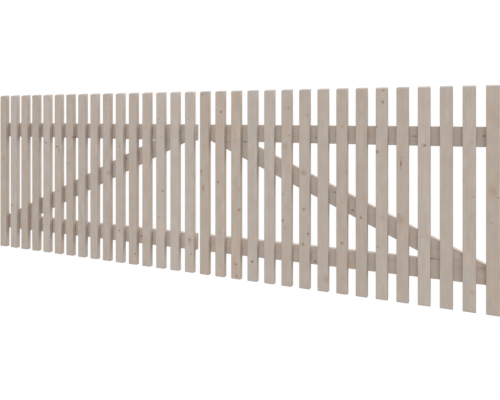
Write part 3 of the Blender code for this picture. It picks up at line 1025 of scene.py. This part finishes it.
for leaf in SIDES:
    for level in LEVELS:
        nodes = [f"{leaf}_{level}_strap_screw_{number}" for number in STRAP_SCREWS]
        shape = bmesh.new()
        for node in nodes:
            point = middle_of(node)
            point.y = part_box(node)[1][1] + CAD_HEAD_SUNK + HEAD_PROUD
            drive_screw(shape, point, STRAP_SCREW, size_of(node).y)
        bmesh.ops.recalc_face_normals(shape, faces=shape.faces)
        name = f"{leaf}_{level}_strap_screws"
        piece = finish_piece(name, shape, zinc_plate, f"{leaf}_leaf")
        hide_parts(*nodes)
print("3 screws to a strap")

# %% [markdown]
# ## Strap hinges
#
# A strap is a flat bar whose end was heated and rolled round a former to make the eye. A tube beside a
# bar would leave out the seam that gives a rolled eye away, so the bar is a scaled cube, and its end is
# spun round the hinge's line as the smith would roll it, most of the way round. The inner end is rounded
# off, and every sharp edge is broken a little, as hot-dipped work needs.
# %% Roll the straps
STRAP_THICKNESS = 4 * MM
EYE_RADIUS = 11 * MM
STRAP_CORNER = 12 * MM
STRAP_CORNER_STEPS = 6
EYE_ROLL = 300
ROLL_STEPS = 30
BROKEN_EDGE = 0.6 * MM
BROKEN_EDGE_STEPS = 2


def break_edges(shape):
    """Round off every sharp edge a little."""
    sharp = [edge for edge in shape.edges if edge.is_manifold and edge.calc_face_angle(0) > SHARP]
    round_off(shape, sharp, BROKEN_EDGE, BROKEN_EDGE_STEPS)


def mirror_to_left(shape):
    """Turn a right-hand shape into a left-hand one."""
    bmesh.ops.scale(shape, vec=(-1, 1, 1), verts=shape.verts)
    bmesh.ops.reverse_faces(shape, faces=shape.faces)


def rolled_strap(length, height):
    """A right-hand strap, with the hinge's line at the origin and the bar towards -X."""
    centre_line = EYE_RADIUS - STRAP_THICKNESS / 2
    shape = scaled_box((length, STRAP_THICKNESS, height), (-length / 2, -centre_line, 0))
    tip = [edge for edge in shape.edges if runs_along(edge, 1) and edge.verts[0].co.x < -length / 2]
    round_off(shape, tip, STRAP_CORNER, STRAP_CORNER_STEPS)
    end = max(shape.faces, key=lambda face: face.calc_center_median().x)
    rim = end.edges[:]
    bmesh.ops.delete(shape, geom=[end], context="FACES_ONLY")
    bmesh.ops.spin(
        shape,
        geom=rim + list({vertex for edge in rim for vertex in edge.verts}),
        cent=(0, 0, 0),
        axis=(0, 0, 1),
        angle=math.radians(EYE_ROLL),
        steps=ROLL_STEPS,
    )
    bmesh.ops.holes_fill(shape, edges=[edge for edge in shape.edges if edge.is_boundary], sides=4)
    bmesh.ops.recalc_face_normals(shape, faces=shape.faces)
    break_edges(shape)
    return shape


for leaf, side in SIDES.items():
    for level in LEVELS:
        node = f"{leaf}_{level}_strap"
        low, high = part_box(node)
        shape = rolled_strap(high.x - low.x - EYE_RADIUS, high.z - low.z)
        if side < 0:
            mirror_to_left(shape)
        hinge_line = Vector((side * (max(abs(low.x), abs(high.x)) - EYE_RADIUS), low.y + EYE_RADIUS, 0))
        hinge_line.z = (low.z + high.z) / 2
        bmesh.ops.translate(shape, vec=hinge_line, verts=shape.verts)
        piece = finish_piece(f"{node}_rolled", shape, galvanised_steel, f"{leaf}_leaf")
        keep_flats_flat(piece)
        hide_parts(node)
print("4 straps, the eyes rolled through", EYE_ROLL, "degrees")

# %% [markdown]
# ## Pintles
#
# A pintle carries the strap's eye on an upright pin. It is welded up from four parts: a plate with two
# holes for the post, an arm, a round shoulder that takes the weight, and the pin, whose top is rounded
# so that the eye finds it. Each part is made alone and has its edges broken, and then they become one
# mesh. The small fillet where the arm meets the plate stands for the weld.
#
# The holes could be bridged by hand, but a boolean that is applied at once is shorter and as clean.
# %% Bars, drills and one mesh from several
HOLE_RADIUS = 3.5 * MM
ROUND_SIDES = 40


def round_bar(radius, bottom, top):
    """A round bar along Z."""
    shape = bmesh.new()
    bmesh.ops.create_cone(
        shape,
        cap_ends=True,
        segments=ROUND_SIDES,
        radius1=radius,
        radius2=radius,
        depth=top - bottom,
        matrix=Matrix.Translation((0, 0, (bottom + top) / 2)),
    )
    return shape


def join(shape, part):
    """Add one bmesh to another."""
    mesh = bpy.data.meshes.new("part")
    part.to_mesh(mesh)
    part.free()
    shape.from_mesh(mesh)
    bpy.data.meshes.remove(mesh)


def drilled(plate, hole_centres, through):
    """The plate with round holes through it along X."""
    drills = bmesh.new()
    for centre in hole_centres:
        bmesh.ops.create_cone(
            drills,
            cap_ends=True,
            segments=ROUND_SIDES,
            radius1=HOLE_RADIUS,
            radius2=HOLE_RADIUS,
            depth=through,
            matrix=Matrix.Translation(centre) @ Matrix.Rotation(math.pi / 2, 4, "Y"),
        )
    made = []
    for name, shape in (("blank", plate), ("drills", drills)):
        mesh = bpy.data.meshes.new(name)
        shape.to_mesh(mesh)
        shape.free()
        made.append(bpy.data.objects.new(name, mesh))
        bpy.context.scene.collection.objects.link(made[-1])
    cut = made[0].modifiers.new("drill", "BOOLEAN")
    cut.object = made[1]
    cut.solver = "EXACT"
    cut_plate = made[0].evaluated_get(bpy.context.evaluated_depsgraph_get()).to_mesh()
    result = bmesh.new()
    result.from_mesh(cut_plate)
    for spare in made:
        bpy.data.objects.remove(spare)
    return result


print("two holes of", round(2 * HOLE_RADIUS / MM, 1), "mm for each plate")

# %% Weld the pintles
PIN_RADIUS = 6.5 * MM
PIN_RISE = 6 * MM
PIN_ROUND = 2 * MM
PIN_ROUND_STEPS = 4
SHOULDER_HEIGHT = 10 * MM
EYE_PLAY = 0.3 * MM
ARM_WIDTH = 16 * MM
ARM_HEIGHT = 8 * MM
PLATE_THICKNESS = 5 * MM
PLATE_CORNER = 4 * MM
PLATE_CORNER_STEPS = 5
HOLE_TO_END = 12 * MM
WELD = 3 * MM
WELD_SPREAD = (1, 1.3, 1.6)
WELD_BITE = 0.2 * MM


def welded_pintle(reach, plate_width, plate_height, eye_height):
    """A right-hand pintle, with the pin's line at the origin and the plate towards +X."""
    shoulder_top = -eye_height / 2 - EYE_PLAY
    shoulder_bottom = shoulder_top - SHOULDER_HEIGHT
    plate_inner = reach - PLATE_THICKNESS
    middle = reach - PLATE_THICKNESS / 2
    plate = scaled_box((PLATE_THICKNESS, plate_width, plate_height), (middle, 0, 0))
    corners = [edge for edge in plate.edges if runs_along(edge, 0)]
    round_off(plate, corners, PLATE_CORNER, PLATE_CORNER_STEPS)
    holes = [(middle, 0, end * (plate_height / 2 - HOLE_TO_END)) for end in (-1, 1)]
    shape = drilled(plate, holes, 2 * PLATE_THICKNESS)
    break_edges(shape)

    arm_length = plate_inner - WELD
    arm = scaled_box((arm_length, ARM_WIDTH, ARM_HEIGHT), (arm_length / 2, 0, 0))
    outer = max(arm.faces, key=lambda face: face.calc_center_median().x)
    welded = bmesh.ops.extrude_face_region(arm, geom=[outer])["geom"]
    bmesh.ops.delete(arm, geom=[outer], context="FACES_ONLY")
    foot = next(part for part in welded if isinstance(part, bmesh.types.BMFace))
    bmesh.ops.scale(arm, vec=WELD_SPREAD, verts=foot.verts)
    bmesh.ops.translate(arm, vec=(WELD + WELD_BITE, 0, 0), verts=foot.verts)
    bmesh.ops.translate(arm, vec=(0, 0, (shoulder_top + shoulder_bottom) / 2), verts=arm.verts)
    bmesh.ops.recalc_face_normals(arm, faces=arm.faces)
    break_edges(arm)
    join(shape, arm)

    shoulder = round_bar(EYE_RADIUS, shoulder_bottom, shoulder_top)
    break_edges(shoulder)
    join(shape, shoulder)
    pin_top = eye_height / 2 + PIN_RISE
    pin = round_bar(PIN_RADIUS, shoulder_bottom + BROKEN_EDGE, pin_top)
    top_rim = [edge for edge in pin.edges if min(vertex.co.z for vertex in edge.verts) > pin_top - MM]
    round_off(pin, top_rim, PIN_ROUND, PIN_ROUND_STEPS)
    join(shape, pin)
    return shape


for leaf, side in SIDES.items():
    for level in LEVELS:
        node = f"{leaf}_{level}_pintle"
        low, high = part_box(node)
        eye_height = size_of(f"{leaf}_{level}_strap").z
        shape = welded_pintle(high.x - low.x - EYE_RADIUS, high.y - low.y, high.z - low.z, eye_height)
        if side < 0:
            mirror_to_left(shape)
        line = Vector((side * (min(abs(low.x), abs(high.x)) + EYE_RADIUS), 0, (low.z + high.z) / 2))
        line.y = (low.y + high.y) / 2
        bmesh.ops.translate(shape, vec=line, verts=shape.verts)
        piece = finish_piece(f"{node}_welded", shape, galvanised_steel, "post_hinges")
        keep_flats_flat(piece)
        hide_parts(node)
print("4 pintles")

# %% [markdown]
# ## The studio
#
# The photograph was lit from all round and cut out on white, with no shadow on the ground, and the
# boards' undersides are its darkest parts. So the sky is bright and the light from below is dim. Two
# soft boxes add to it, one in front and to the right, and a stronger one further to the right and behind
# the gate, which lights the sides of the boards. They are sun lamps with a very wide angle, so they
# light both ends of the gate alike.
# %% Light the gate
SKY_TOP = 1.55
SKY_HORIZON = 1.0
GROUND_LIGHT = 0.41
GROUND_STARTS = -0.02
# Where each comes from, how strong it is, and how many degrees wide.
SUNS = {
    "front_softbox": ((0.5, -1.0, 0.3), 0.53, 50),
    "side_softbox": ((1.0, 0.5, 0.6), 1.0, 40),
}

world = bpy.data.worlds.new("studio_light")
bpy.context.scene.world = world
world.use_nodes = True
sky = world.node_tree
sky.nodes.clear()
height = add_node(sky, "SeparateXYZ", {0: add_node(sky, "TexCoord").outputs["Generated"]}).outputs["Z"]
above = add_node(sky, "MapRange", {"Value": height, "To Min": SKY_HORIZON, "To Max": SKY_TOP})
upward = add_node(sky, "Math", {0: height, 1: GROUND_STARTS}, operation="GREATER_THAN")
strength = add_node(
    sky, "Mix", {"Factor": upward, "A": GROUND_LIGHT, "B": above}, data_type="FLOAT"
)
background = add_node(sky, "Background", {"Color": colour("#FFFFFF"), "Strength": strength})
add_node(sky, "OutputWorld", {"Surface": background})

for name, (comes_from, brightness, spread) in SUNS.items():
    sun_data = bpy.data.lights.new(name, "SUN")
    sun_data.energy = brightness
    sun_data.angle = math.radians(spread)
    sun = bpy.data.objects.new(name, sun_data)
    sun.rotation_euler = Vector(comes_from).to_track_quat("Z", "Y").to_euler()
    bpy.context.scene.collection.objects.link(sun)
bpy.context.scene.view_settings.view_transform = "Standard"
print("a sky and", len(SUNS), "soft boxes")

# %% [markdown]
# ## The floor
#
# A white floor that is lit would throw light up at the boards and take their shadow, and the photograph
# shows neither. So the floor is a pale sheet that glows evenly: the camera sees it, and nothing else
# does. It reaches as far as the eye does, and lies a little under the pickets' feet, because a gate
# hangs clear of the ground.
# %% Lay the floor
FLOOR_DROP = 50 * MM
FLOOR_SIZE = 4000

floor_material, _, floor_shader = new_material("pale_floor_sheet")
floor_shader.inputs["Base Color"].default_value = colour("#000000")
floor_shader.inputs["Roughness"].default_value = 1
floor_shader.inputs["Specular IOR Level"].default_value = 0
floor_shader.inputs["Emission Color"].default_value = colour("#FFFFFF")
floor_shader.inputs["Emission Strength"].default_value = 1
floor_shape = bmesh.new()
bmesh.ops.create_grid(floor_shape, x_segments=1, y_segments=1, size=FLOOR_SIZE)
bmesh.ops.translate(floor_shape, vec=(0, 0, -FLOOR_DROP), verts=floor_shape.verts)
floor_mesh = bpy.data.meshes.new("floor")
floor_shape.to_mesh(floor_mesh)
floor_shape.free()
floor_mesh.materials.append(floor_material)
floor = bpy.data.objects.new("floor", floor_mesh)
floor.visible_diffuse = False
floor.visible_glossy = False
floor.visible_shadow = False
bpy.context.scene.collection.objects.link(floor)
print("a floor", FLOOR_DROP / MM, "mm under the pickets' feet")
